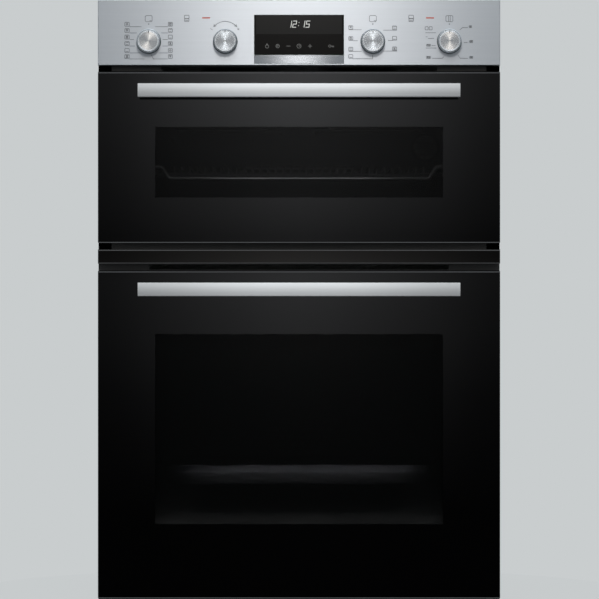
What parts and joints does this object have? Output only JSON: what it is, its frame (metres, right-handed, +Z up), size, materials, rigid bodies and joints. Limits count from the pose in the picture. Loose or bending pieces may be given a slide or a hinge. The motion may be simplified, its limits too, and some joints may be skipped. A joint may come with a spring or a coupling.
{
  "type": "wall oven",
  "caption": "Built-in double wall oven with a small upper and a large lower cavity, drop-down black glass doors with bar handles, and a steel control panel with dials and a display.",
  "frame": {"origin": "bottom centre of the oven's bounding box", "axes": "+X to the right of someone facing the oven, +Y back into the cabinet, +Z up"},
  "size_m": [0.595, 0.594, 0.888],
  "materials": {
    "casing_steel": "galvanised sheet",
    "frame_black": "satin black paint",
    "trim_black": "gloss black",
    "enamel": "dark speckled enamel",
    "insulation": "mineral wool",
    "seal": "soft matt seal",
    "chrome_wire": "bright plated wire",
    "element": "heat-darkened tube",
    "aluminised": "aluminised sheet",
    "motor_steel": "plain steel",
    "lamp_glass": "pressed clear glass",
    "ceramic": "white ceramic",
    "circuit": "circuit board",
    "black_plastic": "moulded plastic",
    "fascia_steel": "horizontal brushing",
    "display": "black display glass",
    "knob_metal": "spun face",
    "door_glass": "black printed glass with a clear window",
    "pane_glass": "clear heat-reflecting glass",
    "door_metal": "black painted section",
    "handle_steel": "long brushing",
    "hinge_steel": "zinc plated",
    "fastener": "zinc plated"
  },
  "bodies": {
    "oven": {"base_pan": "casing_steel", "side_panel_left": "casing_steel", "side_panel_right": "casing_steel", "rear_panel": "casing_steel", "top_cover": "casing_steel", "casing_screws": "fastener", "front_frame": "frame_black", "mid_trim": "trim_black", "upper_cavity": "enamel", "lower_cavity": "enamel", "fan_baffle": "enamel", "insulation_wraps": "insulation", "door_seals": "seal", "shelf_supports": "chrome_wire", "grill_elements": "element", "base_elements": "element", "ring_element": "element", "blower_housing": "aluminised", "circulation_motor": "motor_steel", "blower_motor": "motor_steel", "temperature_probes": "motor_steel", "lamp_lenses": "lamp_glass", "lamp_sockets": "ceramic", "power_board": "circuit", "control_board": "circuit", "terminal_block": "black_plastic", "cable_gland": "black_plastic", "selector_switches": "black_plastic", "control_panel": "fascia_steel", "badge_strip": "fascia_steel", "display_glass": "display", "hinge_claws": "hinge_steel", "hinge_pins": "hinge_steel"},
    "upper_door": {"upper_outer_glass": "door_glass", "upper_inner_glass": "pane_glass", "upper_door_frame": "door_metal", "upper_handle": "handle_steel", "upper_hinge_channels": "hinge_steel", "upper_hinge_springs": "hinge_steel"},
    "upper_hinge_rods": {"upper_hinge_rods": "hinge_steel"},
    "lower_door": {"lower_outer_glass": "door_glass", "lower_inner_glass": "pane_glass", "lower_door_frame": "door_metal", "lower_handle": "handle_steel", "lower_hinge_channels": "hinge_steel", "lower_hinge_springs": "hinge_steel", "lower_middle_glass": "pane_glass"},
    "lower_hinge_rods": {"lower_hinge_rods": "hinge_steel"},
    "selector_1": {"selector_shaft_1": "hinge_steel"},
    "knob_1": {"knob_1": "knob_metal"},
    "selector_2": {"selector_shaft_2": "hinge_steel"},
    "knob_2": {"knob_2": "knob_metal"},
    "selector_3": {"selector_shaft_3": "hinge_steel"},
    "knob_3": {"knob_3": "knob_metal"},
    "selector_4": {"selector_shaft_4": "hinge_steel"},
    "knob_4": {"knob_4": "knob_metal"},
    "circulation_fan": {"circulation_fan": "aluminised"},
    "blower_impeller": {"blower_impeller": "aluminised"},
    "wire_rack": {"wire_rack": "chrome_wire"},
    "universal_pan": {"universal_pan": "enamel"}
  },
  "joints": [
    {"name": "upper_door_hinge", "type": "hinge", "parent": "oven", "child": "upper_door", "pos_m": [0, -0.24, 0.541], "axis": [1, 0, 0], "range_deg": [0, 90], "stiffness_Nm_per_rad": 4, "springref_deg": -20.05},
    {"name": "upper_hinge_pull", "type": "slide", "parent": "upper_door", "child": "upper_hinge_rods", "axis": [0, 0, 1], "range_m": [-0.0095, 0], "deforming": ["upper_hinge_springs"]},
    {"name": "lower_door_hinge", "type": "hinge", "parent": "oven", "child": "lower_door", "pos_m": [0, -0.24, 0.016], "axis": [1, 0, 0], "range_deg": [0, 90], "stiffness_Nm_per_rad": 8, "springref_deg": -20.05},
    {"name": "lower_hinge_pull", "type": "slide", "parent": "lower_door", "child": "lower_hinge_rods", "axis": [0, 0, 1], "range_m": [-0.0095, 0], "deforming": ["lower_hinge_springs"]},
    {"name": "selector_1_turn", "type": "hinge", "parent": "oven", "child": "selector_1", "pos_m": [-0.222, -0.253, 0.8272], "axis": [0, 1, 0], "continuous": true},
    {"name": "knob_1_push", "type": "slide", "parent": "selector_1", "child": "knob_1", "axis": [0, 1, 0], "range_m": [0, 0.013], "stiffness_N_per_m": 150, "springref_m": -0.01},
    {"name": "selector_2_turn", "type": "hinge", "parent": "oven", "child": "selector_2", "pos_m": [-0.109, -0.253, 0.8272], "axis": [0, 1, 0], "continuous": true},
    {"name": "knob_2_push", "type": "slide", "parent": "selector_2", "child": "knob_2", "axis": [0, 1, 0], "range_m": [0, 0.013], "stiffness_N_per_m": 150, "springref_m": -0.01},
    {"name": "selector_3_turn", "type": "hinge", "parent": "oven", "child": "selector_3", "pos_m": [0.109, -0.253, 0.8272], "axis": [0, 1, 0], "continuous": true},
    {"name": "knob_3_push", "type": "slide", "parent": "selector_3", "child": "knob_3", "axis": [0, 1, 0], "range_m": [0, 0.013], "stiffness_N_per_m": 150, "springref_m": -0.01},
    {"name": "selector_4_turn", "type": "hinge", "parent": "oven", "child": "selector_4", "pos_m": [0.222, -0.253, 0.8272], "axis": [0, 1, 0], "range_deg": [0, 300]},
    {"name": "knob_4_push", "type": "slide", "parent": "selector_4", "child": "knob_4", "axis": [0, 1, 0], "range_m": [0, 0.013], "stiffness_N_per_m": 150, "springref_m": -0.01},
    {"name": "circulation_fan_spin", "type": "hinge", "parent": "oven", "child": "circulation_fan", "pos_m": [0, 0.187, 0.2535], "axis": [0, 1, 0], "continuous": true},
    {"name": "blower_spin", "type": "hinge", "parent": "oven", "child": "blower_impeller", "pos_m": [0, 0.061, 0.828], "axis": [1, 0, 0], "continuous": true},
    {"name": "wire_rack_pull", "type": "slide", "parent": "oven", "child": "wire_rack", "axis": [0, -1, 0], "range_m": [0, 0.018]},
    {"name": "universal_pan_pull", "type": "slide", "parent": "oven", "child": "universal_pan", "axis": [0, -1, 0], "range_m": [0, 0.018]}
  ],
  "couplings": [
    {"joint": "upper_hinge_pull", "follows": "upper_door_hinge", "m_per_rad": -0.0057296},
    {"joint": "lower_hinge_pull", "follows": "lower_door_hinge", "m_per_rad": -0.0057296}
  ]
}
